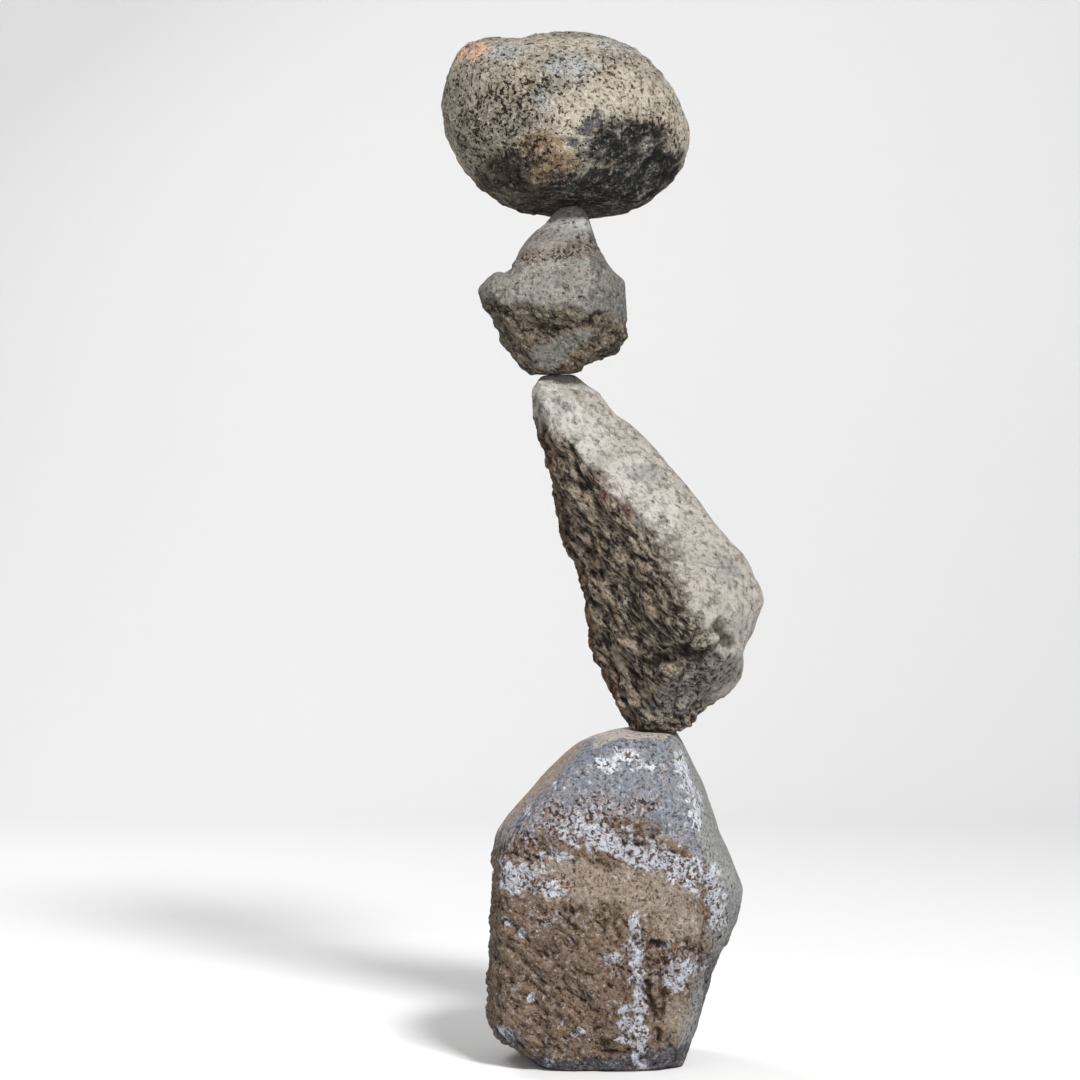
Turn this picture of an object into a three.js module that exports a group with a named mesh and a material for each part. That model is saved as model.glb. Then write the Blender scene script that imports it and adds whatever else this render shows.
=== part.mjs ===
// A balanced stack of four natural stones: a tall blocky base, a leaning wedge on it, a small angular stone
// on the wedge's tip, and a rounded, pitted boulder on top. Nothing holds them but their own weight.
// Millimetres, +Z up. The viewer stands on the -Y side. The origin is on the ground, under the middle of the
// stack.

import * as THREE from 'three';
import { ConvexGeometry } from 'three/addons/geometries/ConvexGeometry.js';
import { ImprovedNoise } from 'three/addons/math/ImprovedNoise.js';

// Driving dimensions, in millimetres, and shares of them.
const TOUCH_GAP = 0.3; // between two stones where they touch
const CONTACT_RADIUS = 14; // how far around a contact the stone stays free of lumps
const GIRDLE = 16; // how near the outline's own plane the lumps die away
const LUMP_SIZE = 48; // how far apart the broad lumps are
const KNOB_SIZE = 23; // and the finer ones between them
const KNOB_SHARE = 0.6; // how high the finer ones are beside the broad ones
const TEAR_LENGTH = 70; // of the torn ridges on a broken face
const TEAR_WIDTH = 26;
const TEAR_DEPTH = 40;
const SLIVER_SHARE = 0.7; // how high the finer torn ridges are beside the broad ones
const EVEN_ANGLE = 13; // degrees to each side over which the outline is evened out, off the girdle
const EVEN_SHRINK = 0.985; // how far inside the outline the evened one stays
const EVEN_FROM = 0.1; // lean towards the front or back, from 0 to 1, at which the outline evens out
const EVEN_TO = 0.5;

// How finely the mesh follows the shape.
const OUTLINE_DIVISIONS = 5; // points from one corner of an outline to the next
const STEPS_PER_DEGREE = 2; // of the outline's reach
const PROBE_DETAIL = 24; // icosphere that searches a stone for its edges
const HALVINGS = 12; // steps that close in on an edge
const FILL_DETAIL = 44; // icosphere that fills the skin between the edges
const RIM_SPACING = 0.3; // spacing of corners along the outline, as a share of the stone's own spacing
const EDGE_SPACING = 0.7;
const FILL_SPACING = 0.8;

// Where one stone stands on another: the point, and the way the upper stone presses back.
const contacts = {
  wedgeOnBase: { at: [44, 2, 267], turn: 0, rise: 84 },
  smallOnWedge: { at: [-39, 0, 549.3], turn: -90, rise: 87 },
  boulderOnSmall: { at: [-25, -2, 681], turn: 180, rise: 79 },
};

// Each stone: its heart, the outline that the viewer sees (X and Z), how far it reaches to the front and the
// back of its heart, how boxy it is in depth (2 is an ellipsoid), how crisp the edges between its faces are,
// the spacing of its mesh, and the height of its lumps. The faces are the ones it broke along. Each is given
// by the way it looks, as a turn from the viewer (towards +X) and a rise above level, by its distance from
// the heart, and by how rough it is. A groove runs between two points on the front, X and Z.
const stones = [
  {
    name: 'base_stone',
    heart: [6, 5, 128],
    outline: [
      [-3, 261], [10, 265], [30, 268], [61, 267], [68, 253], [75, 235], [82, 219], [88, 201], [97, 177],
      [109, 150], [114, 137], [112, 126], [107, 104], [99, 92], [89, 72], [83, 56], [76, 24], [70, 5],
      [62, -14], [-46, -14], [-56, 0], [-68, 8], [-86, 14], [-92, 26], [-93, 56], [-93, 80], [-90, 100],
      [-90, 140], [-88, 148], [-91, 159], [-89, 172], [-83, 184], [-72, 200], [-59, 216], [-48, 227],
      [-35, 239], [-26, 248], [-13, 257],
    ],
    depth: [96, 92],
    boxiness: 5,
    crisp: 26,
    spacing: 12,
    lump: 2,
    faces: [
      { turn: 3, rise: 21, out: 100, rough: 1 }, // blue-grey upper front
      { turn: 1, rise: 2, out: 91, rough: 1.6 }, // bulge in the middle
      { turn: -15, rise: -5, out: 90, rough: 2.4 }, // lower left front
      { turn: 20, rise: -8, out: 92, rough: 2 }, // lower right front
      { turn: 48, rise: -12, out: 101, rough: 1.4 }, // lower right corner
      { turn: -73, rise: 43, out: 112, rough: 1 }, // bevel up the left shoulder
      { turn: 72, rise: 22, out: 106, rough: 0.8 }, // upper right side
      { turn: 78, rise: -20, out: 105, rough: 1.4 }, // lower right side
      { turn: -79, rise: 0, out: 102, rough: 1.6 }, // left side
      { turn: -62, rise: -45, out: 142, rough: 1 }, // undercut at the left foot
      { turn: 0, rise: -45, out: 132, rough: 1 }, // undercut along the front
      { turn: -124, rise: 6, out: 98, rough: 2 },
      { turn: 177, rise: 4, out: 84, rough: 2.4 },
      { turn: 139, rise: 8, out: 96, rough: 1.6 },
      { turn: 160, rise: 44, out: 112, rough: 1.4 },
      { turn: -148, rise: 40, out: 116, rough: 1.4 },
    ],
    grooves: [
      { from: [27, 106], to: [34, 30], wide: 9, deep: 5 },
      { from: [-70, 158], to: [-24, 152], wide: 9, deep: 2.5 },
    ],
    colour: 0x8d7d6a,
  },
  {
    name: 'wedge_stone',
    heart: [38, -2, 376],
    outline: [
      [-54, 546], [-57, 536], [-56, 521], [-53, 504], [-44, 477], [-40, 459], [-38, 440], [-35, 418],
      [-27, 408], [-18, 390], [-16, 372], [-11, 356], [-10, 336], [-7, 324], [0, 311], [7, 297],
      [10, 285], [20, 270], [23, 258], [67, 258], [75, 276], [89, 286], [104, 296], [112, 306], [112, 327],
      [120, 341], [126, 360], [130, 368], [127, 379], [119, 391], [115, 402], [101, 416], [88, 433],
      [79, 446], [66, 463], [55, 477], [44, 489], [36, 497], [28, 507], [23, 512], [11, 518],
      [4, 528], [-2, 537], [-14, 543], [-22, 554],
    ],
    depth: [110, 124],
    boxiness: 3,
    crisp: 24,
    spacing: 11,
    lump: 2.2,
    faces: [
      { turn: 33, rise: 36, out: 67, rough: 0.8 }, // smooth weathered face
      { turn: -48, rise: -12, out: 46, rough: 3 }, // rough broken face
      { turn: 50, rise: 6, out: 85, rough: 1 }, // blunt lower right corner
      { turn: 58, rise: -35, out: 98, rough: 1.2 }, // under the ledge, lower right
      { turn: 6, rise: -36, out: 90, rough: 2.4 }, // front of the foot
      { turn: 138, rise: 12, out: 104, rough: 1.6 },
      { turn: 172, rise: 26, out: 96, rough: 1.4 },
      { turn: -142, rise: 6, out: 90, rough: 2.4 },
      { turn: 168, rise: -34, out: 98, rough: 2 },
    ],
    grooves: [
      { from: [28, 318], to: [74, 332], wide: 8, deep: 4 },
      { from: [-6, 452], to: [30, 372], wide: 9, deep: 3.5 },
      { from: [14, 408], to: [48, 340], wide: 8, deep: 3 },
    ],
    colour: 0x9f9383,
  },
  {
    name: 'small_stone',
    heart: [-34, 0, 608],
    outline: [
      [-34, 682], [-25, 694], [-16, 682], [-11, 672], [-8, 664], [-5, 656], [-2, 648], [3, 639], [9, 631],
      [17, 624], [18, 616], [19, 608], [21, 584], [20, 574], [15, 567], [5, 563], [-10, 558], [-18, 553],
      [-25, 545], [-54, 545], [-64, 556], [-72, 563], [-78, 571], [-83, 580], [-87, 591], [-93, 600],
      [-98, 608], [-99, 616], [-93, 624], [-86, 630], [-76, 632], [-71, 638], [-66, 647], [-58, 658],
      [-45, 671],
    ],
    depth: [60, 58],
    boxiness: 3,
    crisp: 26,
    spacing: 7,
    lump: 1.1,
    faces: [
      { turn: -14, rise: 38, out: 54, rough: 0.6 }, // smooth face under the tip
      { turn: -12, rise: 8, out: 44, rough: 0.6 }, // light face in the middle
      { turn: 57, rise: 14, out: 52, rough: 0.8 }, // right flank
      { turn: -14, rise: -30, out: 41, rough: 1.8 }, // rough face below
      { turn: -56, rise: -30, out: 54, rough: 1.4 }, // lower left
      { turn: 40, rise: -18, out: 49, rough: 1.8 }, // lower right
      { turn: 172, rise: 24, out: 46, rough: 1 },
      { turn: -128, rise: 8, out: 56, rough: 1 },
      { turn: -156, rise: -30, out: 48, rough: 1.4 },
      { turn: 136, rise: -20, out: 50, rough: 1.2 },
    ],
    grooves: [
      { from: [-76, 643], to: [-22, 640], wide: 5, deep: 1.6 },
      { from: [4, 582], to: [16, 572], wide: 6, deep: 3 },
    ],
    colour: 0x84817b,
  },
  {
    name: 'top_boulder',
    heart: [-30, 2, 746],
    outline: [
      [-117, 804], [-108, 814], [-97, 817], [-81, 820], [-70, 817], [-57, 820], [-36, 823], [-1, 820],
      [17, 815], [35, 804], [53, 784], [65, 761], [71, 742], [69, 726], [61, 708], [46, 693], [27, 680],
      [3, 673], [-25, 672], [-49, 676], [-71, 682], [-97, 696], [-113, 714], [-124, 738], [-128, 764],
      [-125, 786],
    ],
    depth: [74, 74],
    boxiness: 2.2,
    crisp: 20,
    spacing: 10.5,
    lump: 2.4,
    faces: [
      { turn: 42, rise: -26, out: 84, rough: 2 }, // darker hollow side, lower right
      { turn: -38, rise: -34, out: 82, rough: 1 },
      { turn: 165, rise: 20, out: 82, rough: 1.6 },
    ],
    grooves: [
      { from: [-18, 758], to: [-2, 734], wide: 9, deep: 3 },
    ],
    colour: 0x8f8370,
  },
];

const { degToRad, euclideanModulo, smoothstep } = THREE.MathUtils;
const noise = new ImprovedNoise();

// The way a face looks, from its turn away from the viewer and its rise above level, in degrees.
function facing({ turn, rise }) {
  const level = Math.cos(degToRad(rise));
  return new THREE.Vector3(
    Math.sin(degToRad(turn)) * level,
    -Math.cos(degToRad(turn)) * level,
    Math.sin(degToRad(rise)),
  );
}

// How far a closed line of points about the heart, in X and Z, lies from it in the direction of an angle.
function lineReach(line, angle) {
  const [x, z] = [Math.cos(angle), Math.sin(angle)];
  let reach = 0;
  line.forEach((a, i) => {
    const b = line[(i + 1) % line.length];
    const sideA = x * a.z - z * a.x;
    const sideB = x * b.z - z * b.x;
    if (sideA === sideB || sideA * sideB > 0) return;
    const share = sideA / (sideA - sideB);
    reach = Math.max(reach, x * (a.x + (b.x - a.x) * share) + z * (a.z + (b.z - a.z) * share));
  });
  return reach;
}

// Broad and finer lumps of a stone's skin, from -1 to 1 or so.
function lumpiness({ x, y, z }) {
  const broad = noise.noise(x / LUMP_SIZE, y / LUMP_SIZE, z / LUMP_SIZE);
  return broad + KNOB_SHARE * noise.noise(x / KNOB_SIZE, y / KNOB_SIZE, z / KNOB_SIZE);
}

// The tearing of a broken face: ridges that run down and to the right, from -1 to 1 or so.
function tearing({ x, y, z }) {
  const along = (x - z) / TEAR_LENGTH;
  const across = (x + z) / TEAR_WIDTH;
  const through = y / TEAR_DEPTH;
  const broad = noise.noise(across, along, through);
  return broad + SLIVER_SHARE * noise.noise(2 * across, 3 * along, 2 * through);
}

// A point of an outline or a groove, as seen by the viewer, from the stone's heart.
const fromHeart = ([x, z], [heartX, , heartZ]) => new THREE.Vector3(x - heartX, 0, z - heartZ);

// One stone, as the distance of its skin from its heart in every direction.
class Stone {
  constructor(shape, cuts) {
    Object.assign(this, shape);
    this.centre = new THREE.Vector3(...shape.heart);
    this.planes = shape.faces.map((face) => ({ ...face, normal: facing(face) }));
    this.lines = shape.grooves.map(({ from, to, wide, deep }) => {
      const line = new THREE.Line3(fromHeart(from, shape.heart), fromHeart(to, shape.heart));
      return { line, wide, deep };
    });
    this.cuts = cuts.map(({ normal, point }) => {
      const at = point.clone().sub(this.centre);
      return { normal, at, out: normal.dot(at) };
    });

    const corners = shape.outline.map((corner) => fromHeart(corner, shape.heart));
    const curve = new THREE.CatmullRomCurve3(corners, true, 'centripetal');
    const line = curve.getPoints(corners.length * OUTLINE_DIVISIONS);
    const steps = 360 * STEPS_PER_DEGREE;
    const spread = EVEN_ANGLE * STEPS_PER_DEGREE;
    this.rim = corners.map((corner) => corner.clone().normalize());
    this.sharp = Array.from({ length: steps }, (_, i) => lineReach(line, degToRad(i / STEPS_PER_DEGREE)));
    this.even = this.sharp.map((_, i) => {
      let sum = 0;
      for (let k = -spread; k <= spread; k += 1) sum += this.sharp[euclideanModulo(i + k, steps)];
      return (EVEN_SHRINK * sum) / (2 * spread + 1);
    });
    const box = new THREE.Box3().setFromPoints(line);
    this.stretch = box.getSize(new THREE.Vector3()).setY(this.depth[0] + this.depth[1]);
  }

  // The outline's reach, followed closely at the girdle and evened out towards the front and the back.
  outlineReach(way) {
    const steps = this.sharp.length;
    const step = euclideanModulo(Math.atan2(way.z, way.x) / (2 * Math.PI), 1) * steps;
    const [low, share] = [Math.floor(step), step % 1];
    const read = (table) => table[low % steps] * (1 - share) + table[(low + 1) % steps] * share;
    const evened = smoothstep(Math.abs(way.y), EVEN_FROM, EVEN_TO);
    return read(this.sharp) * (1 - evened) + read(this.even) * evened;
  }

  // The rounded body that the outline and the depth give, before any face is broken off it.
  bodyReach(way) {
    const across = Math.hypot(way.x, way.z) / this.outlineReach(way);
    const through = Math.abs(way.y) / this.depth[way.y < 0 ? 0 : 1];
    return (across ** this.boxiness + through ** this.boxiness) ** (-1 / this.boxiness);
  }

  // How far the grooves on the front cut into the skin at a point.
  groovedBy(point) {
    if (point.y > 0) return 0;
    const seen = point.clone().setY(0);
    return this.lines.reduce((deepest, { line, wide, deep }) => {
      const away = line.closestPointToPoint(seen, true, new THREE.Vector3()).distanceTo(seen) / wide;
      return Math.max(deepest, deep * Math.exp(-2 * away * away));
    }, 0);
  }

  // How far the skin lies from the heart in one direction, and which face is there. The faces run into
  // each other and into the body with worn edges. The contacts and the ground cut clean.
  skin(way) {
    const body = this.bodyReach(way);
    let nearest = body;
    let face = -1;
    let worn = 1;
    this.planes.forEach(({ normal, out, rough }, index) => {
      const toward = normal.dot(way);
      if (toward <= out / (2 * body)) return;
      const there = way.clone().multiplyScalar(out / toward).add(this.centre);
      const reach = (out + rough * tearing(there)) / toward;
      worn += (body / reach) ** this.crisp;
      if (reach < nearest) [nearest, face] = [reach, index];
    });
    let reach = body * worn ** (-1 / this.crisp);

    const point = way.clone().multiplyScalar(reach);
    let free = 1;
    for (const { at } of this.cuts) {
      free *= smoothstep(point.distanceTo(at), CONTACT_RADIUS, 2 * CONTACT_RADIUS);
    }
    const offGirdle = smoothstep(Math.abs(point.y), 0, GIRDLE);
    const groove = this.groovedBy(point);
    reach += free * (this.lump * offGirdle * lumpiness(point.add(this.centre)) - groove);

    this.cuts.forEach(({ normal, out }, index) => {
      const toward = normal.dot(way);
      if (toward <= 0 || out / toward >= reach) return;
      reach = out / toward;
      face = this.planes.length + index;
    });
    return { reach, face };
  }

  point(way) {
    return way.clone().multiplyScalar(this.skin(way).reach);
  }

  // Directions spread over the stone, as an icosphere stretched to its proportions, three to a triangle.
  spread(detail) {
    const ball = new THREE.IcosahedronGeometry(1, detail).getAttribute('position');
    return Array.from({ length: ball.count }, (_, i) =>
      new THREE.Vector3().fromBufferAttribute(ball, i).multiply(this.stretch).normalize());
  }

  // Directions to the edges between faces, found between neighbouring directions that meet different faces.
  edges() {
    const ways = this.spread(PROBE_DETAIL);
    const found = [];
    ways.forEach((start, i) => {
      let from = start;
      let to = ways[i % 3 === 2 ? i - 2 : i + 1];
      const { face } = this.skin(from);
      if (face === this.skin(to).face) return;
      for (let halving = 0; halving < HALVINGS; halving += 1) {
        const middle = from.clone().add(to).normalize();
        if (this.skin(middle).face === face) from = middle;
        else to = middle;
      }
      found.push(from);
    });
    return found;
  }

  // Directions to the mesh's corners: first the outline, then the edges, then the skin between them.
  ways() {
    const kept = [];
    const keep = (ways, share) => {
      for (const way of ways) {
        const point = this.point(way);
        const clear = kept.every((other) => other.point.distanceTo(point) > share * this.spacing);
        if (clear) kept.push({ way, point });
      }
    };
    keep(this.rim, RIM_SPACING);
    keep(this.edges(), EDGE_SPACING);
    keep(this.spread(FILL_DETAIL), FILL_SPACING);
    return kept.map(({ way }) => way);
  }

  // The closed mesh, about the heart. Its corners join up as their directions do on a sphere.
  geometry() {
    const onSphere = this.ways().map((way) => way.clone().divide(this.stretch).normalize());
    const hull = new ConvexGeometry(onSphere);
    const corners = hull.getAttribute('position');
    for (let i = 0; i < corners.count; i += 1) {
      const way = new THREE.Vector3().fromBufferAttribute(corners, i).multiply(this.stretch).normalize();
      const { x, y, z } = this.point(way);
      corners.setXYZ(i, x, y, z);
    }
    return hull;
  }
}

// The plane that ends the stone below a contact, and the one that ends the stone above it.
const above = ({ at, turn, rise }) => ({ normal: facing({ turn, rise }), point: new THREE.Vector3(...at) });
const below = (contact) => {
  const { normal, point } = above(contact);
  return { normal: normal.clone().negate(), point: point.clone().addScaledVector(normal, TOUCH_GAP) };
};
const ground = { normal: new THREE.Vector3(0, 0, -1), point: new THREE.Vector3(0, 0, 0) };
const cuts = {
  base_stone: [ground, above(contacts.wedgeOnBase)],
  wedge_stone: [below(contacts.wedgeOnBase), above(contacts.smallOnWedge)],
  small_stone: [below(contacts.smallOnWedge), above(contacts.boulderOnSmall)],
  top_boulder: [below(contacts.boulderOnSmall)],
};

const stack = new THREE.Group();
for (const shape of stones) {
  const stone = new Stone(shape, cuts[shape.name]);
  const material = new THREE.MeshStandardMaterial({ color: shape.colour, roughness: 0.95, metalness: 0 });
  const mesh = new THREE.Mesh(stone.geometry(), material);
  mesh.name = shape.name;
  mesh.position.copy(stone.centre);
  stack.add(mesh);
}

// The origin is under the middle of the stack's own box.
const middle = new THREE.Box3().setFromObject(stack).getCenter(new THREE.Vector3());
stack.position.set(-middle.x, -middle.y, 0);
const part = new THREE.Group();
part.add(stack);

export default part;
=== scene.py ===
"""A balanced stack of four natural stones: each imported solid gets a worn, torn and pitted skin with the
stone's own colours. Metres, +Z up, the viewer on the -Y side. Sizes and places on the stones are in
millimetres."""

import math

import bmesh
import bpy
import numpy as np
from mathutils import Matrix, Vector, noise
from mathutils.bvhtree import BVHTree


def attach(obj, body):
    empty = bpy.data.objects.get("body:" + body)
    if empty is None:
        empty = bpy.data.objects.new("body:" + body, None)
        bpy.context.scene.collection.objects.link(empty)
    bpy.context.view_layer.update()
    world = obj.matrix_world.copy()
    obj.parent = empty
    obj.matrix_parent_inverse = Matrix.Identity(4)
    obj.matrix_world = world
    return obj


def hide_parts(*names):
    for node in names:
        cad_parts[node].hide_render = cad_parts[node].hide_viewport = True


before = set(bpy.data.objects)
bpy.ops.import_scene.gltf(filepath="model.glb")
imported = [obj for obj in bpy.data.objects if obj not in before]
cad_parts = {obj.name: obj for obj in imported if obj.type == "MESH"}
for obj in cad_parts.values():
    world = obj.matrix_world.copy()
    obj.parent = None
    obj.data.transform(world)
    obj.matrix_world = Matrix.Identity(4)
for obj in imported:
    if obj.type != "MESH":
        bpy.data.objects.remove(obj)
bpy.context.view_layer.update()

MM = 0.001
MOST_FACES = 96000  # quads on one stone, which are twice as many triangles
FACES_PER_CELL = 1.5  # quads that a remesh makes for each cell's area of skin, on average
WEAR_ROUNDS = 28  # smoothing rounds that wear the solid's own facets away
WELD = 0.01  # mm within which the solid's corners are one
CLEAR_FROM = 0.8  # mm from another stone or the ground at which the skin starts to move
CLEAR_TO = 7.0  # mm at which it moves freely
FRONT_FROM = 10  # mm along Y at which patches of the front start to show
FRONT_TO = -20  # mm along Y at which they show in full
FAR = 99.0  # more than any distance to a patch or a line


# Random fields over a stone's skin

def field(points, size, basis="PERLIN_ORIGINAL"):
    """A smooth random value, from -1 to 1 or so, at each point, with features of that size."""
    return np.array([noise.noise(Vector(p), noise_basis=basis) for p in points / size])


def bumps(points, heights):
    """Soft bumps in mm: the sum of fields, where each size has its height."""
    return sum(height * field(points, size) for size, height in heights.items())


def crumbs(points, size, octaves):
    """Round crumbs of that size with sharp clefts between them: 0 in the clefts, 1 on the highest crumb."""
    found = np.array([noise.turbulence(Vector(p), octaves, True) for p in points / size])
    return found / found.max()


def ridges(points, size, octaves):
    """Sharp-crested ridges of that size: 0 at the lowest place between them, 1 or so on the crests."""
    return 1 - crumbs(points, size, octaves)


def pits(points, size, fill):
    """Round hollows about that far apart: 1 at the middle of each, 0 outside. More fill makes them wider."""
    away = field(points, size, "VORONOI_F1")
    return soften(away, fill, fill * 0.4)


def soften(values, low, high):
    """0 at low and 1 at high, with a smooth rise between, or fall where high is the lower."""
    share = np.clip((values - low) / (high - low), 0, 1)
    return share * share * (3 - 2 * share)


def along(degrees, turn, rise):
    """The direction on a face that looks that way, seen by the viewer at that angle from +X towards +Z."""
    x, z = math.cos(math.radians(degrees)), math.sin(math.radians(degrees))
    way = facing(turn, rise)
    return Vector((x, -(way.x * x + way.z * z) / way.y, z)).normalized()


def grain(points, way, stretch):
    """The points of a space drawn out by stretch along a direction."""
    return points - np.outer(points @ np.array(way), way) * (1 - 1 / stretch)


def facing(turn, rise):
    """A direction: a turn from the viewer towards +X, and a rise."""
    level = math.cos(math.radians(rise))
    return Vector((math.sin(math.radians(turn)) * level, -math.cos(math.radians(turn)) * level,
                   math.sin(math.radians(rise))))


def looking(normals, turn, rise):
    """How squarely each point of the skin looks one way."""
    return normals @ np.array(facing(turn, rise))


def blots(points, places, ragged, size):
    """Soft-edged patches on the front: 1 inside, 0 outside. Each place is X, Z, half width, half height."""
    rag = ragged * field(points, size)
    nearest = np.full(len(points), FAR)
    for x, z, wide, tall in places:
        away = np.hypot((points[:, 0] - x) / wide, (points[:, 2] - z) / tall)
        nearest = np.minimum(nearest, away)
    return soften(nearest + rag, 1.5, 0.5) * front(points)


def strokes(points, paths, width, ragged, size):
    """Ragged lines on the front along paths of X and Z places: 1 on each path, 0 at that width from it."""
    seen = points[:, [0, 2]]
    nearest = np.full(len(points), FAR)
    for path in paths:
        for start, end in zip(path, path[1:]):
            run = np.subtract(end, start)
            share = np.clip((seen - start) @ run / (run @ run), 0, 1)
            nearest = np.minimum(nearest, np.linalg.norm(seen - start - np.outer(share, run), axis=1))
    return soften(nearest / width + ragged * field(points, size), 1, 0.3) * front(points)


def front(points):
    """1 on the side that the viewer sees, 0 at the back."""
    return soften(points[:, 1], FRONT_FROM, FRONT_TO)


# The skin of one stone

def evenly(node):
    """A copy of a node's solid as an object of its own, with an even fine mesh and its facets worn away."""
    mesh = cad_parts[node].data.copy()
    body = bmesh.new()
    body.from_mesh(mesh)
    bmesh.ops.remove_doubles(body, verts=body.verts, dist=WELD * MM)
    area = sum(face.calc_area() for face in body.faces)
    body.to_mesh(mesh)
    body.free()
    piece = bpy.data.objects.new(node + "_skin", mesh)
    bpy.context.scene.collection.objects.link(piece)
    remesh = piece.modifiers.new("even", "REMESH")
    remesh.mode = "VOXEL"
    remesh.voxel_size = math.sqrt(FACES_PER_CELL * area / MOST_FACES)
    worn = piece.modifiers.new("worn", "SMOOTH")
    worn.iterations = WEAR_ROUNDS
    finished = piece.evaluated_get(bpy.context.evaluated_depsgraph_get())
    made = bpy.data.meshes.new_from_object(finished)
    piece.modifiers.clear()
    piece.data = made
    return piece


def read(mesh, attribute):
    """A vector attribute of a mesh's vertices as an array of three columns."""
    values = np.zeros(len(mesh.vertices) * 3, np.float32)
    mesh.vertices.foreach_get(attribute, values)
    return values.reshape(-1, 3).astype(float)


def freedom(points, node):
    """1 where the skin is free to move, 0 where it touches the ground or another stone."""
    nearest = np.maximum(points[:, 2], 0)
    for other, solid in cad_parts.items():
        if other == node:
            continue
        faces = [list(face.vertices) for face in solid.data.polygons]
        tree = BVHTree.FromPolygons([corner.co for corner in solid.data.vertices], faces)
        found = [tree.find_nearest(Vector(p), CLEAR_TO * MM)[3] for p in points * MM]
        nearest = np.minimum(nearest, [CLEAR_TO if d is None else d / MM for d in found])
    return soften(nearest, CLEAR_FROM, CLEAR_TO)


def store(mesh, masks):
    """Keeps each mask on the mesh's points, under its name, for the materials."""
    for name, values in masks.items():
        attribute = mesh.attributes.new(name, "FLOAT", "POINT")
        attribute.data.foreach_set("value", np.clip(values, 0, 1).astype(np.float32))


def build(node, relief, material):
    """One stone: relief gives the skin's height in mm and the masks, from its points and their normals."""
    piece = evenly(node)
    points = read(piece.data, "co") / MM
    normals = read(piece.data, "normal")
    height, masks = relief(points, normals)
    moved = points + normals * (height * freedom(points, node))[:, None]
    moved[:, 2] = np.maximum(moved[:, 2], 0)
    piece.data.vertices.foreach_set("co", (moved * MM).astype(np.float32).ravel())
    piece.data.shade_smooth()
    store(piece.data, masks)
    piece.data.materials.clear()
    piece.data.materials.append(material)
    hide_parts(node)
    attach(piece, "root")


# Materials

ROUGHNESS = 0.92
SPECULAR = 0.3


def shade(red, green, blue):
    """A colour from its 0 to 255 values on screen, by the sRGB curve."""
    linear = [((c / 255 + 0.055) / 1.055) ** 2.4 if c > 10 else c / 255 / 12.92 for c in (red, green, blue)]
    return (*linear, 1)


class Skin:
    """A node material in the making. Each method adds nodes and gives back the output with the result."""

    def __init__(self, name):
        self.material = bpy.data.materials.new(name)
        self.material.use_nodes = True
        self.tree = self.material.node_tree
        self.shader = self.tree.nodes["Principled BSDF"]
        self.shader.inputs["Roughness"].default_value = ROUGHNESS
        self.shader.inputs["Specular IOR Level"].default_value = SPECULAR
        self.place = self.add("ShaderNodeTexCoord").outputs["Object"]

    def add(self, kind, inputs=None, **settings):
        node = self.tree.nodes.new(kind)
        for name, value in settings.items():
            setattr(node, name, value)
        for name, value in (inputs or {}).items():
            if isinstance(value, bpy.types.NodeSocket):
                self.tree.links.new(value, node.inputs[name])
            else:
                node.inputs[name].default_value = value
        return node

    def mask(self, name):
        return self.add("ShaderNodeAttribute", attribute_name=name).outputs["Fac"]

    def math(self, operation, a, b):
        return self.add("ShaderNodeMath", {0: a, 1: b}, operation=operation).outputs[0]

    def vector(self, operation, inputs, output="Vector"):
        return self.add("ShaderNodeVectorMath", inputs, operation=operation).outputs[output]

    def lean(self, way, stretch):
        """The place on the stone, in a space drawn out by stretch along a direction."""
        share = self.vector("DOT_PRODUCT", {0: self.place, 1: way}, "Value")
        back = self.vector("SCALE", {0: way, "Scale": self.both(share, 1 / stretch - 1)})
        return self.vector("ADD", {0: self.place, 1: back})

    def noise(self, size, detail=3.0, roughness=0.6, place=None):
        """Noise from 0 to 1 with features of that size in mm."""
        inputs = {
            "Vector": place or self.place,
            "Scale": 1 / (size * MM),
            "Detail": detail,
            "Roughness": roughness,
        }
        return self.add("ShaderNodeTexNoise", inputs).outputs["Fac"]

    def step(self, value, low, high):
        """0 below low and 1 above high, with a smooth rise between."""
        inputs = {"Value": value, "From Min": low, "From Max": high}
        return self.add("ShaderNodeMapRange", inputs, interpolation_type="SMOOTHSTEP").outputs[0]

    def pores(self, size, density):
        """Ragged pores up to about half that size in mm: few at a density of 0, a third of the skin at 1."""
        lower = self.math("SUBTRACT", self.noise(size, 2.5), self.both(density, 0.12))
        return self.step(lower, 0.38, 0.32)

    def spread(self, mask, size, edge, detail=4.0, ragged=2.4):
        """Ragged patches that follow a mask: none where it is 0, nearly all where it is 1."""
        wander = self.both(self.math("SUBTRACT", self.noise(size, detail, 0.7), 0.5), ragged)
        return self.step(self.math("ADD", mask, wander), 0.5 - edge, 0.5 + edge)

    def tint(self, colour, mask, size, strength, tone):
        """The colour with soft patches of another, as strong as that at most."""
        return self.mix(self.both(self.spread(mask, size, 0.35), strength), colour, tone)

    def mix(self, factor, a, b, blend="MIX"):
        inputs = {0: factor, 6: a, 7: b}
        return self.add("ShaderNodeMix", inputs, data_type="RGBA", blend_type=blend).outputs[2]

    def darken(self, factor, colour, by):
        """The colour, multiplied by a darker one where factor is 1."""
        return self.mix(factor, colour, by, "MULTIPLY")

    def both(self, a, b):
        return self.math("MULTIPLY", a, b)

    def either(self, a, b):
        return self.math("MAXIMUM", a, b)

    def outside(self, mask):
        return self.math("SUBTRACT", 1.0, mask)

    def finish(self, colour, *heights):
        """Sets the colour, and the fine relief as the sum of heights in mm."""
        height = heights[0]
        for more in heights[1:]:
            height = self.math("ADD", height, more)
        inputs = {"Height": height, "Distance": MM, "Strength": 1.0}
        bump = self.add("ShaderNodeBump", inputs).outputs[0]
        self.tree.links.new(colour, self.shader.inputs["Base Color"])
        self.tree.links.new(bump, self.shader.inputs["Normal"])
        return self.material


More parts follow.
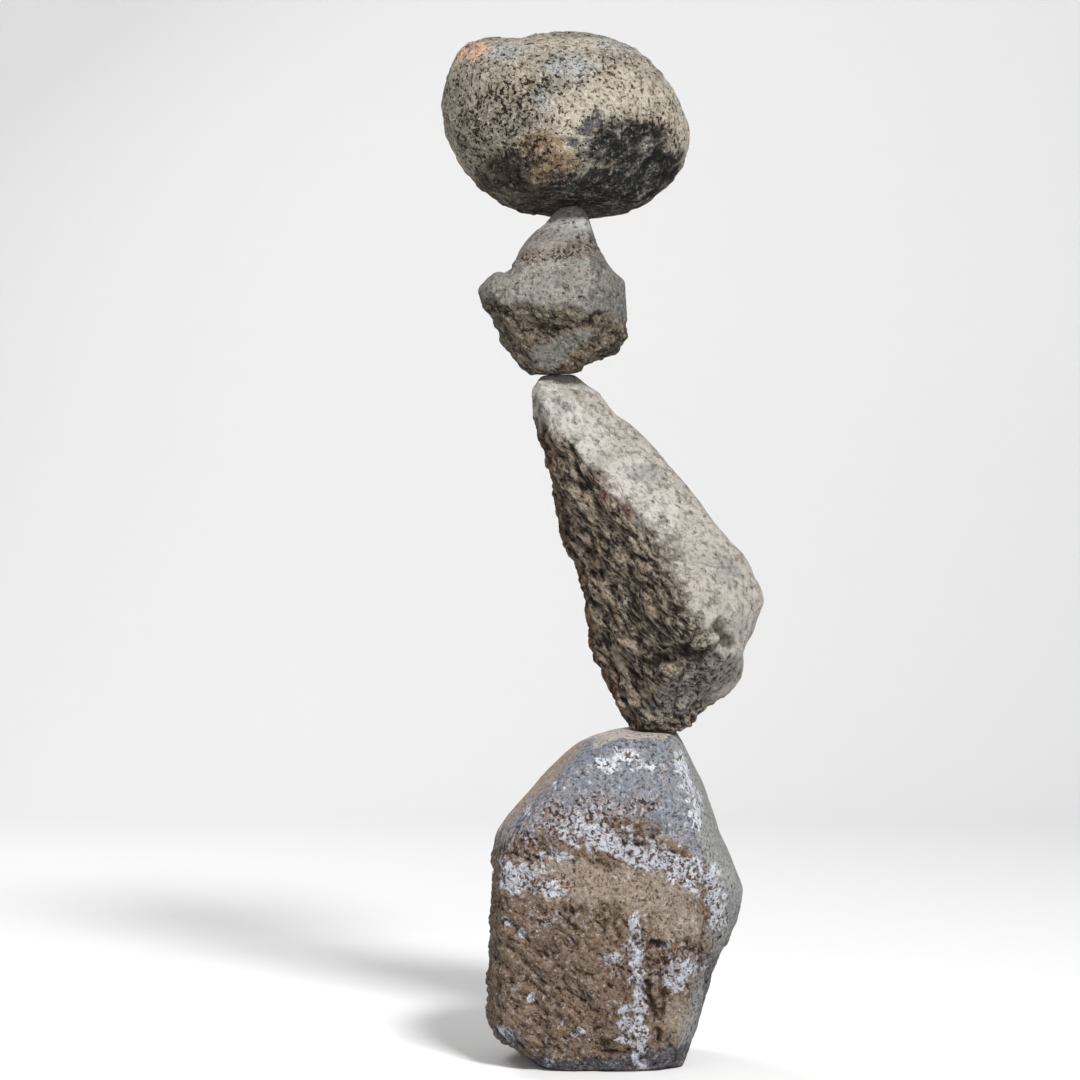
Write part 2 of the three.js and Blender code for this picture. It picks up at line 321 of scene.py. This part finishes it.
# The top boulder: tan and full of pores, darker and grooved at the lower right

BOULDER_BUMPS = {42: 1.6, 17: 1.0, 8: 0.6}
BOULDER_DIMPLE = 0.9  # mm deep
BOULDER_COMBED = 4.4  # mm from groove to crest on the dark part
BOULDER_SUNK = 3.0  # mm that the dark part's grooves lie below the skin
BOULDER_CLEFT_DEPTH = 3.0
BOULDER_COMB = along(26, 20, -20)
BOULDER_DARK = [(38, 710, 32, 20), (4, 722, 22, 14), (24, 734, 26, 10), (8, 694, 52, 14), (46, 698, 24, 16)]
# Dark brown patches low on the boulder, partly painted shade
BOULDER_LOW_DARK_AND_SHADE = [(-78, 706, 30, 14), (-56, 688, 34, 10), (-16, 682, 34, 6)]
BOULDER_PITTED = [(-100, 736, 14, 26), (-74, 704, 24, 14), (-86, 744, 34, 34), (-66, 718, 30, 20),
                  (-58, 766, 22, 14), (60, 744, 12, 24), (30, 742, 30, 10)]
BOULDER_PALE = [(32, 772, 38, 16), (0, 758, 26, 10), (-26, 740, 14, 14), (-40, 806, 50, 8),
                (66, 752, 10, 24)]
# Pale bluish patches, along the top edge partly a painted highlight
BOULDER_ASH_AND_SHEEN = [(-28, 787, 20, 10), (-78, 800, 15, 9), (10, 808, 20, 5), (-50, 762, 8, 10), (34, 808, 20, 6)]
BOULDER_RUST = [(-104, 804, 13, 9)]
BOULDER_OCHRE = [(-40, 704, 20, 20), (-52, 724, 14, 10), (-24, 690, 14, 12)]
BOULDER_CLEFT = [(-16, 735, 9, 4), (-10, 741, 7, 5), (-6, 748, 4, 4), (-26, 726, 5, 4)]


def boulder_relief(points, normals):
    behind = 1 - front(points)
    # The faces that look down, for painted shade
    under = soften(normals[:, 2], -0.45, -0.85)
    patchy = soften(field(points, 46), 0.0, 0.35)
    dark = np.maximum(blots(points, BOULDER_DARK, 0.3, 22), 0.8 * behind * patchy)
    pitted = np.maximum(blots(points, BOULDER_PITTED, 0.3, 18), 0.5 + behind * 0.3 * field(points, 30))
    pale = blots(points, BOULDER_PALE, 0.3, 18)
    cleft = blots(points, BOULDER_CLEFT, 0.3, 6)
    dimples = pits(points, 9, 0.55)
    combed = ridges(grain(points, BOULDER_COMB, 2.4), 13, 3)
    height = bumps(points, BOULDER_BUMPS)
    height -= BOULDER_DIMPLE * dimples * (1 - 0.7 * pale)
    height += dark * (BOULDER_COMBED * combed - BOULDER_SUNK)
    height -= BOULDER_CLEFT_DEPTH * cleft
    masks = {
        "dark": dark,
        "low_dark_and_underside_shade": np.maximum(blots(points, BOULDER_LOW_DARK_AND_SHADE, 0.3, 16), under),
        "pitted": pitted * (1 - 0.8 * pale),
        "pale": pale,
        "ash": blots(points, BOULDER_ASH_AND_SHEEN, 0.3, 12),
        "rust": blots(points, BOULDER_RUST, 0.3, 9),
        "ochre": blots(points, BOULDER_OCHRE, 0.3, 12),
        "cleft": cleft,
        # painted shade in the low places of the dark part's grooves
        "hollow_shade": dark * soften(combed, 0.66, 0.4),
    }
    return height, masks


def boulder_skin():
    skin = Skin("boulder_skin")
    pitted, pale, dark = skin.mask("pitted"), skin.mask("pale"), skin.mask("dark")
    broad = skin.step(skin.noise(26), 0.35, 0.65)
    fine = skin.noise(3.4, 4, 0.72)
    combed = skin.noise(9, 5, 0.68, skin.lean(BOULDER_COMB, 2.2))
    colour = skin.mix(broad, shade(188, 178, 160), shade(164, 157, 144))
    colour = skin.tint(colour, pale, 12, 0.7, shade(202, 193, 176))
    # Pale bluish patches, along the top edge partly a painted highlight
    colour = skin.tint(colour, skin.mask("ash"), 7, 0.6, shade(182, 188, 190))
    colour = skin.tint(colour, skin.mask("ochre"), 9, 0.8, shade(150, 122, 90))
    colour = skin.tint(colour, skin.mask("rust"), 5, 0.75, shade(244, 196, 166))
    # Darker and browner low down, partly painted shade, and painted shade on the faces that look down
    colour = skin.darken(skin.spread(skin.mask("low_dark_and_underside_shade"), 12, 0.8), colour, shade(84, 68, 54))
    # Darker where pitted: the pores' own tone, and partly painted shade, mostly on the left
    colour = skin.darken(skin.both(skin.step(pitted, 0.5, 1.0), 0.5), colour, shade(206, 198, 190))
    tone = skin.mix(skin.step(combed, 0.47, 0.7), shade(22, 23, 22), shade(140, 140, 136))
    sooty = skin.spread(dark, 9, 0.5)
    colour = skin.mix(sooty, colour, tone)
    # Painted shade: a dark bluish tint in the cleft
    colour = skin.tint(colour, skin.mask("cleft"), 5, 0.8, shade(70, 68, 82))
    bare = skin.outside(skin.both(skin.either(sooty, skin.mask("low_dark_and_underside_shade")), 0.6))
    colour = skin.mix(skin.both(skin.step(fine, 0.54, 0.7), bare), colour, shade(214, 206, 190))
    colour = skin.darken(skin.step(fine, 0.49, 0.34), colour, shade(124, 112, 100))
    drifts = skin.both(pitted, skin.step(skin.noise(12, 3), 0.26, 0.54))
    pores = skin.either(skin.pores(3.0, drifts), skin.both(skin.pores(4.6, skin.both(drifts, 0.45)), 0.8))
    # Dark pores: partly their dirt, partly painted shade in them
    colour = skin.darken(pores, colour, shade(74, 64, 55))
    # Painted shade in the low places of the grooves
    colour = skin.darken(skin.mask("hollow_shade"), colour, shade(120, 114, 104))
    combing = skin.both(skin.either(dark, skin.both(pitted, 0.6)), skin.both(combed, 9.0))
    return skin.finish(colour, skin.both(fine, 6.0), combing, skin.both(pores, -0.9))


# The small stone: smooth grey above, brown and torn below, with a pale foot

SMALL_BUMPS = {22: 1.2, 9: 0.6, 4: 0.3}
SMALL_TORN = 5.0  # mm from cleft to crumb on the torn part
SMALL_SUNK = 3.0  # mm that its clefts lie below the skin
SMALL_PIT = 0.9  # mm deep
SMALL_CAVE_DEPTH = 1.8
SMALL_NOTCH_DEPTH = 4.5
SMALL_TEAR = along(-38, 0, -30)
SMALL_BAND = [(-58, 639, 16, 5), (-40, 641, 14, 5), (-12, 648, 10, 8), (-22, 643, 10, 5)]
SMALL_FOOT = [(-44, 562, 13, 10), (-31, 571, 10, 6), (-18, 579, 9, 5)]
SMALL_GREEN = [(-84, 618, 14, 10), (2, 586, 16, 8), (-8, 574, 14, 8), (-6, 604, 9, 5), (-30, 626, 10, 4)]
SMALL_CAVE = [
    ((26, 580), (14, 571), (-2, 564)),
    ((-4, 594), (-16, 587)),
    ((-54, 585), (-42, 582), (-34, 584)),
]
SMALL_NOTCH = [(-75, 630, 6, 6), (-90, 606, 3, 6)]
SMALL_PINK = [(-46, 652, 16, 10), (-14, 618, 16, 10), (-60, 622, 16, 6), (8, 634, 10, 14),
              (-34, 606, 16, 5)]


def small_relief(points, normals):
    band = blots(points, SMALL_BAND, 0.3, 7)
    foot = blots(points, SMALL_FOOT, 0.2, 7)
    below = soften(points[:, 2] + 0.16 * points[:, 0] + 5 * field(points, 9), 602, 586)
    torn = below * (1 - 0.6 * foot)
    cave = strokes(points, SMALL_CAVE, 4, 1.0, 5)
    notch = blots(points, SMALL_NOTCH, 0.3, 5)
    tears = crumbs(grain(points, SMALL_TEAR, 1.8), 12, 4)
    height = bumps(points, SMALL_BUMPS)
    height += torn * (SMALL_TORN * tears - SMALL_SUNK)
    height -= SMALL_PIT * band * pits(points, 4.5, 0.55)
    height -= SMALL_CAVE_DEPTH * cave + SMALL_NOTCH_DEPTH * notch
    masks = {
        "torn": torn,
        "band": band,
        "foot": foot,
        "green": blots(points, SMALL_GREEN, 0.3, 8),
        "pink": blots(points, SMALL_PINK, 0.4, 8),
        "flank_shade": soften(looking(normals, 65, 10), 0.55, 0.85),
        "tip": soften(points[:, 2], 657, 668),
        "shaded": soften(looking(normals, -40, 30), 0.86, 0.96) * soften(points[:, 2], 632, 642),
        # painted shade in the torn part's clefts and along the cave strokes
        "hollow_shade": np.maximum(torn * soften(tears, 0.24, 0.08), 0.7 * cave),
    }
    return height, masks


def small_skin():
    skin = Skin("small_skin")
    torn, band, hollow_shade = skin.mask("torn"), skin.mask("band"), skin.mask("hollow_shade")
    broad = skin.step(skin.noise(16), 0.35, 0.65)
    fine = skin.noise(3.2, 4, 0.72)
    rough = skin.noise(4.4, 5, 0.68, skin.lean(SMALL_TEAR, 2.0))
    colour = skin.mix(broad, shade(160, 157, 150), shade(140, 137, 131))
    # Painted shade on the faces that look right
    colour = skin.darken(skin.mask("flank_shade"), colour, shade(196, 198, 200))
    colour = skin.darken(skin.mask("shaded"), colour, shade(224, 222, 220))
    # Painted light on the tip, against the boulder's shadow over it
    colour = skin.mix(skin.both(skin.mask("tip"), 0.6), colour, shade(208, 208, 205))
    colour = skin.tint(colour, skin.mask("green"), 7, 0.5, shade(118, 120, 106))
    colour = skin.tint(colour, skin.mask("pink"), 7, 0.4, shade(160, 149, 141))
    tone = skin.mix(skin.step(rough, 0.36, 0.64), shade(66, 57, 47), shade(148, 133, 115))
    colour = skin.mix(skin.spread(torn, 6, 0.5), colour, tone)
    colour = skin.tint(colour, band, 5, 0.6, shade(138, 121, 106))
    colour = skin.tint(colour, skin.mask("foot"), 5, 0.7, shade(134, 133, 126))
    colour = skin.mix(skin.both(skin.step(fine, 0.55, 0.72), 0.8), colour, shade(196, 192, 184))
    colour = skin.darken(skin.step(fine, 0.48, 0.34), colour, shade(156, 149, 141))
    dull = skin.step(skin.noise(7, 3), 0.48, 0.34)
    colour = skin.darken(dull, colour, shade(206, 204, 202))
    pores = skin.pores(3.0, skin.both(band, 0.8))
    # Dark pores: partly their dirt, partly painted shade in them
    colour = skin.darken(pores, colour, shade(132, 120, 108))
    # Painted shade: the torn part's clefts and the hollows darkened
    cleft = skin.both(torn, skin.step(rough, 0.44, 0.32))
    colour = skin.darken(skin.either(cleft, hollow_shade), colour, shade(108, 92, 76))
    tearing = skin.both(skin.both(torn, rough), 10.0)
    worn = skin.both(skin.either(pores, dull), -0.6)
    return skin.finish(colour, skin.both(fine, 5.0), tearing, worn)


# The wedge: pale and smooth where the weather reached it, brown and torn where it broke

WEDGE_BUMPS = {34: 1.2, 10: 0.6, 4.5: 0.3}
WEDGE_STEP = 6.0  # mm from low to high of the torn side's broad ridges
WEDGE_TORN = 8.0  # mm from cleft to crumb on them
WEDGE_SUNK = 4.2  # mm that the low places of each lie below the skin
WEDGE_CHIP = 5.0  # mm broken off the edge between the two sides, here and there
WEDGE_LEDGE_DEPTH = 3.6
WEDGE_TEAR = along(-48, -48, -12)
WEDGE_RIDGE = ((318, 90), (351, 80), (378, 62), (405, 54), (428, 37), (446, 17), (471, -5), (498, -29),
               (508, -56))
# Pale patches; the last one, at the tip, is painted light against the small stone's shadow
WEDGE_PALE_AND_TIP_LIGHT = [(-36, 520, 20, 14), (-16, 500, 20, 20), (16, 464, 18, 20), (44, 440, 14, 18),
              (-50, 540, 16, 8)]
WEDGE_RED = [(-11, 464, 4, 3), (20, 440, 5, 4), (-46, 474, 3, 8), (0, 452, 6, 3), (-60, 486, 3, 6)]
WEDGE_ASH = [(-52, 530, 8, 6), (-34, 524, 8, 6), (98, 392, 12, 10), (106, 352, 8, 10), (30, 470, 14, 8)]
WEDGE_LEDGE = [((92, 350), (96, 336), (87, 327), (72, 322), (58, 328), (38, 320))]
WEDGE_FACET = [(86, 314, 24, 14), (66, 298, 24, 14), (50, 284, 20, 8)]


def wedge_relief(points, normals):
    x, z = points[:, 0], points[:, 2]
    wander = 9 * field(points, 24) + 5 * field(points, 8)
    ridge = np.interp(z, *zip(*WEDGE_RIDGE))
    seen = soften(x + wander - ridge, -20, 10)
    unseen = soften(looking(normals, 33, 36) - looking(normals, -48, -12) + 0.03 * wander, 0, 0.6)
    ahead = front(points)
    worn = np.maximum(seen * ahead + unseen * (1 - ahead), soften(z + wander, 510, 528))
    facet = blots(points, WEDGE_FACET, 0.3, 10)
    torn = (1 - worn) * (1 - 0.3 * facet)
    edge = soften(np.abs(x - ridge), 22, 4) * ahead
    ledge = strokes(points, WEDGE_LEDGE, 9, 0.6, 7)
    steps = ridges(grain(points, WEDGE_TEAR, 1.5), 40, 2)
    tears = crumbs(grain(points, WEDGE_TEAR, 2.2), 14, 4)
    height = bumps(points, WEDGE_BUMPS)
    height += torn * (WEDGE_STEP * steps - WEDGE_SUNK + WEDGE_TORN * tears - WEDGE_SUNK)
    height -= WEDGE_CHIP * edge * soften(field(points, 20), -0.1, 0.6)
    height -= WEDGE_LEDGE_DEPTH * ledge
    masks = {
        "torn": torn,
        "pale": blots(points, WEDGE_PALE_AND_TIP_LIGHT, 0.4, 14) * worn,
        "red": blots(points, WEDGE_RED, 0.3, 5),
        "ash": blots(points, WEDGE_ASH, 0.4, 9),
        "facet": facet,
        # painted shade in the torn part's clefts and in the recess under the ledge
        "hollow_shade": np.maximum(torn * soften(tears, 0.26, 0.08), 0.9 * ledge * soften(tears, 0.55, 0.2)),
        "umber": (1 - worn) * soften(looking(normals, -88, -5), 0.75, 0.95),
    }
    return height, masks


def wedge_skin():
    skin = Skin("wedge_skin")
    torn, facet = skin.mask("torn"), skin.mask("facet")
    broad = skin.step(skin.noise(22), 0.35, 0.65)
    fine = skin.noise(3.6, 4, 0.7)
    rough = skin.noise(4.4, 5, 0.7, skin.lean(WEDGE_TEAR, 2.8))
    rock = skin.spread(torn, 7, 0.5)
    colour = skin.mix(broad, shade(180, 173, 164), shade(166, 160, 152))
    # Pale patches, and at the tip painted light against the small stone's shadow
    colour = skin.tint(colour, skin.mask("pale"), 16, 0.6, shade(198, 194, 188))
    colour = skin.tint(colour, skin.mask("ash"), 8, 0.5, shade(132, 132, 132))
    tone = skin.mix(skin.step(rough, 0.4, 0.66), shade(66, 55, 45), shade(200, 183, 163))
    tone = skin.darken(skin.mask("umber"), tone, shade(208, 180, 152))
    colour = skin.mix(rock, colour, tone)
    ashen = skin.mix(skin.step(rough, 0.4, 0.6), shade(74, 69, 63), shade(158, 152, 144))
    colour = skin.mix(skin.both(skin.spread(facet, 8, 0.4), 0.8), colour, ashen)
    colour = skin.tint(colour, skin.mask("red"), 4, 0.5, shade(120, 76, 62))
    colour = skin.mix(skin.both(skin.step(fine, 0.56, 0.74), 0.6), colour, shade(212, 205, 195))
    grit = skin.both(skin.step(fine, 0.48, 0.34), skin.step(rock, -0.8, 1.0))
    colour = skin.darken(grit, colour, shade(128, 120, 112))
    dull = skin.step(skin.noise(7.5, 3), 0.48, 0.34)
    colour = skin.darken(dull, colour, shade(216, 212, 208))
    # Painted shade: the clefts of the torn part and the facet, the hollows and under the ledge darkened
    cleft = skin.both(skin.either(rock, facet), skin.step(rough, 0.47, 0.38))
    colour = skin.darken(skin.either(cleft, skin.mask("hollow_shade")), colour, shade(88, 73, 59))
    tearing = skin.both(skin.either(rock, facet), skin.both(rough, 12.0))
    return skin.finish(colour, skin.both(fine, 3.4), tearing, skin.both(dull, -0.5))


# The base: blue-grey above, tan and brown below, with a white mineral crust between and in a streak

BASE_BUMPS = {44: 1.4, 14: 0.6, 6: 0.35}
BASE_TORN = 7.0  # mm from cleft to crumb on the torn part
BASE_SUNK = 4.4  # mm that its clefts lie below the skin
BASE_CRUST_HEIGHT = 0.7
BASE_CREVICE_DEPTH = 2.6
BASE_TEAR = along(-46, -10, 0)
BASE_SHOULDER = ((-96, 172), (-60, 188), (-35, 196), (11, 200), (40, 196), (60, 178), (90, 146), (120, 120))
BASE_BAND = [
    ((-28, 193), (2, 186), (24, 175), (45, 167), (66, 160), (79, 152)),
    ((-92, 166), (-82, 152), (-66, 150)),
]
BASE_STREAK = [
    ((24, 122), (24, 96), (27, 70), (27, 36), (28, 4)),
    ((14, 50), (18, 36), (12, 26)),
    ((79, 152), (88, 136), (91, 116)),
    ((60, 246), (66, 230), (72, 212), (73, 196)),
]
BASE_CRUST = [(-60, 158, 14, 8), (-44, 146, 12, 7), (-36, 172, 14, 5), (18, 247, 11, 7), (2, 241, 12, 5),
              (34, 240, 9, 3), (64, 84, 15, 7), (56, 72, 9, 8), (-41, 226, 4, 5), (-61, 206, 3, 4),
              (-79, 30, 6, 6), (-42, 7, 6, 4), (-58, 58, 3, 4), (-21, 33, 5, 4), (4, 92, 9, 4),
              (-78, 120, 4, 4), (-64, 110, 3, 5)]
BASE_TAN = [(-8, 150, 42, 16), (38, 142, 36, 18), (56, 120, 20, 18), (-34, 162, 18, 8), (30, 207, 16, 6),
            (60, 42, 12, 18)]
BASE_SPECKLE = [(-36, 198, 34, 14), (-6, 208, 26, 12), (26, 210, 20, 8), (-66, 180, 16, 14),
                (-44, 148, 22, 8), (40, 98, 30, 10), (52, 84, 20, 14), (4, 88, 16, 10), (-48, 124, 16, 8),
                (70, 150, 20, 8)]
BASE_SLATE = [(50, 10, 32, 10), (-76, 24, 16, 10), (-42, 4, 26, 6), (84, 64, 6, 26), (8, 6, 30, 6)]
BASE_CREVICE = [((34, 72), (36, 58), (40, 46)), ((41, 36), (44, 26)), ((36, 104), (46, 102))]


def base_relief(points, normals):
    x, z = points[:, 0], points[:, 2]
    shoulder = np.interp(x, *zip(*BASE_SHOULDER)) + 7 * field(points, 22)
    upper = soften(z - shoulder, -12, 12)
    rim = soften(looking(normals, -110, 40), 0.86, 0.95) * upper
    side = soften(looking(normals, 74, 6), 0.76, 0.9)
    tan = blots(points, BASE_TAN, 0.3, 16) * (1 - upper)
    lines = np.maximum(strokes(points, BASE_BAND, 16, 0.6, 9), strokes(points, BASE_STREAK, 8, 0.8, 7))
    crust = np.maximum(lines, 0.9 * blots(points, BASE_CRUST, 0.7, 6)) * soften(-normals[:, 1], 0.05, 0.35)
    patchy = soften(field(points, 30), 0.0, 0.4)
    behind = soften(np.abs(z - shoulder + 8), 26, 8) * patchy * (1 - front(points))
    crust = np.maximum(crust, behind)
    crevice = strokes(points, BASE_CREVICE, 3.4, 0.9, 5)
    rough = (1 - upper) * (1 - 0.7 * tan) * (1 - 0.7 * side)
    tears = crumbs(grain(points, BASE_TEAR, 1.8), 15, 4)
    height = bumps(points, BASE_BUMPS)
    height += rough * (BASE_TORN * tears - BASE_SUNK)
    height += BASE_CRUST_HEIGHT * crust - crust * pits(points, 6, 0.5)
    height -= BASE_CREVICE_DEPTH * crevice
    masks = {
        "upper": upper,
        "rim": rim,
        "crown": soften(normals[:, 2], 0.82, 0.93) * upper,
        "side": side,
        "tan": tan,
        "crust": crust,
        "speckle": np.maximum(blots(points, BASE_SPECKLE, 0.3, 12), 0.8 * behind),
        "slate": blots(points, BASE_SLATE, 0.3, 10),
        # painted shade in the torn part's clefts and in the crevice
        "hollow_shade": np.maximum(rough * soften(tears, 0.24, 0.08), crevice),
    }
    return height, masks


def base_skin():
    skin = Skin("base_skin")
    upper, crust, tan = skin.mask("upper"), skin.mask("crust"), skin.mask("tan")
    speckle = skin.mask("speckle")
    flaw = skin.both(skin.outside(upper), skin.outside(skin.both(tan, 0.6)))
    broad = skin.step(skin.noise(26), 0.35, 0.65)
    fine = skin.noise(3.2, 4, 0.72)
    rough = skin.noise(5.2, 5, 0.7, skin.lean(BASE_TEAR, 2.6))
    tone = skin.mix(skin.step(rough, 0.38, 0.64), shade(98, 78, 62), shade(160, 139, 118))
    brown = skin.mix(broad, tone, shade(134, 112, 93))
    colour = skin.mix(skin.spread(tan, 12, 0.4), brown, shade(160, 145, 130))
    blue = skin.mix(skin.step(skin.noise(9), 0.35, 0.65), shade(142, 146, 156), shade(122, 126, 137))
    colour = skin.mix(skin.spread(upper, 12, 0.25), colour, blue)
    colour = skin.mix(skin.both(skin.spread(skin.mask("rim"), 16, 0.6), 0.8), colour, shade(180, 154, 130))
    # Beige on the faces that look up, lightened with painted light against the wedge's shadow
    colour = skin.mix(skin.spread(skin.mask("crown"), 10, 0.4), colour, shade(200, 189, 180))
    # Pale grey on the faces that look right, partly painted light
    colour = skin.mix(skin.mask("side"), colour, shade(160, 160, 159))
    colour = skin.mix(skin.spread(skin.mask("slate"), 8, 0.3), colour, shade(110, 107, 113))
    red = skin.both(speckle, skin.step(skin.noise(3.8), 0.48, 0.6))
    colour = skin.mix(skin.both(red, 0.8), colour, shade(142, 108, 88))
    white = skin.spread(skin.both(crust, 0.84), 5, 0.3, 5, 3.0)
    colour = skin.mix(skin.both(white, 0.9), colour, shade(230, 235, 246))
    grey = skin.both(speckle, skin.step(skin.noise(4.4), 0.53, 0.6))
    colour = skin.mix(grey, colour, shade(182, 184, 192))
    colour = skin.mix(skin.both(skin.step(fine, 0.55, 0.7), 0.8), colour, shade(204, 200, 196))
    colour = skin.darken(skin.step(fine, 0.48, 0.34), colour, shade(144, 133, 126))
    wild = skin.either(speckle, crust)
    large = skin.math("SUBTRACT", skin.both(wild, 1.2), 0.5)
    pores = skin.either(skin.pores(2.6, 0.2), skin.pores(3.8, large))
    # Dark pores: partly their tone and dirt, partly painted shade in them
    colour = skin.darken(pores, colour, skin.mix(wild, shade(152, 147, 145), shade(134, 100, 84)))
    # Painted shade: the torn part's clefts, the hollows and the crevice darkened
    line = skin.both(flaw, skin.step(rough, 0.44, 0.34))
    colour = skin.darken(line, colour, shade(84, 66, 52))
    colour = skin.darken(skin.mask("hollow_shade"), colour, shade(112, 90, 72))
    tearing = skin.both(skin.both(flaw, rough), 12.0)
    return skin.finish(colour, skin.both(fine, 4.5), tearing, skin.both(pores, -0.9))


build("top_boulder", boulder_relief, boulder_skin())
build("small_stone", small_relief, small_skin())
build("wedge_stone", wedge_relief, wedge_skin())
build("base_stone", base_relief, base_skin())


# Camera: level, at mid-height, with a picture 864 mm wide and tall at the plane through the stones

VIEW_PLANE = -0.0072  # along Y
VIEW_DISTANCE = 2.6  # from that plane
VIEW_HEIGHT = 0.4165
VIEW_WIDTH = 0.864
VIEW_SIDE = -0.0506
SENSOR = 36.0  # mm

lens = bpy.data.cameras.new("camera")
lens.sensor_width = SENSOR
lens.lens = SENSOR * VIEW_DISTANCE / VIEW_WIDTH
camera = bpy.data.objects.new("camera", lens)
camera.location = (VIEW_SIDE, VIEW_PLANE - VIEW_DISTANCE, VIEW_HEIGHT)
camera.rotation_euler = (math.radians(90), 0, 0)
bpy.context.scene.collection.objects.link(camera)
bpy.context.scene.camera = camera


# Studio: a pale floor that curves up into a wall, a soft key light, a weak fill and a light from behind

STUDIO_FRONT = -5.0  # the floor's near edge along Y
STUDIO_BACK = 2.2  # where it starts to curve up
STUDIO_TURN = 0.8  # the curve's radius
STUDIO_STEPS = 17  # points along the curve
STUDIO_TOP = 4.0
STUDIO_HALF = 5.0  # half its width
PAPER_GREY = 0.85
PAPER_ROUGHNESS = 0.9
STACK_MIDDLE = (0, 0, 0.45)
WORLD_STRENGTH = 0.27


def studio_sweep():
    """A floor that runs back and curves up into a wall."""
    profile = [(STUDIO_FRONT, 0.0)]
    for a in np.linspace(0, math.pi / 2, STUDIO_STEPS):
        profile.append((STUDIO_BACK + STUDIO_TURN * math.sin(a), STUDIO_TURN * (1 - math.cos(a))))
    profile.append((STUDIO_BACK + STUDIO_TURN, STUDIO_TOP))
    mesh = bpy.data.meshes.new("studio_sweep")
    corners = [(side * STUDIO_HALF, y, z) for y, z in profile for side in (-1, 1)]
    faces = [(2 * i, 2 * i + 1, 2 * i + 3, 2 * i + 2) for i in range(len(profile) - 1)]
    mesh.from_pydata(corners, [], faces)
    mesh.shade_smooth()
    sweep = bpy.data.objects.new("studio_sweep", mesh)
    paper = bpy.data.materials.new("paper")
    paper.use_nodes = True
    shader = paper.node_tree.nodes["Principled BSDF"]
    shader.inputs["Base Color"].default_value = (PAPER_GREY, PAPER_GREY, PAPER_GREY, 1)
    shader.inputs["Roughness"].default_value = PAPER_ROUGHNESS
    mesh.materials.append(paper)
    bpy.context.scene.collection.objects.link(sweep)


def soft_light(name, place, size, power):
    """A square area light that points at the middle of the stack."""
    lamp = bpy.data.lights.new(name, "AREA")
    lamp.size = size
    lamp.energy = power
    light = bpy.data.objects.new(name, lamp)
    light.location = place
    aim = Vector(STACK_MIDDLE) - Vector(place)
    light.rotation_euler = aim.to_track_quat("-Z", "Y").to_euler()
    bpy.context.scene.collection.objects.link(light)


studio_sweep()
soft_light("key", place=(0.95, -2.5, 2.5), size=0.6, power=150)
soft_light("fill", place=(-2.2, -2.0, 1.0), size=1.8, power=8)
soft_light("back", place=(-1.2, 1.9, 2.2), size=1.2, power=30)
world = bpy.data.worlds.new("world")
world.use_nodes = True
background = world.node_tree.nodes["Background"]
background.inputs["Color"].default_value = (1, 1, 1, 1)
background.inputs["Strength"].default_value = WORLD_STRENGTH
bpy.context.scene.world = world
bpy.context.scene.view_settings.view_transform = "Standard"
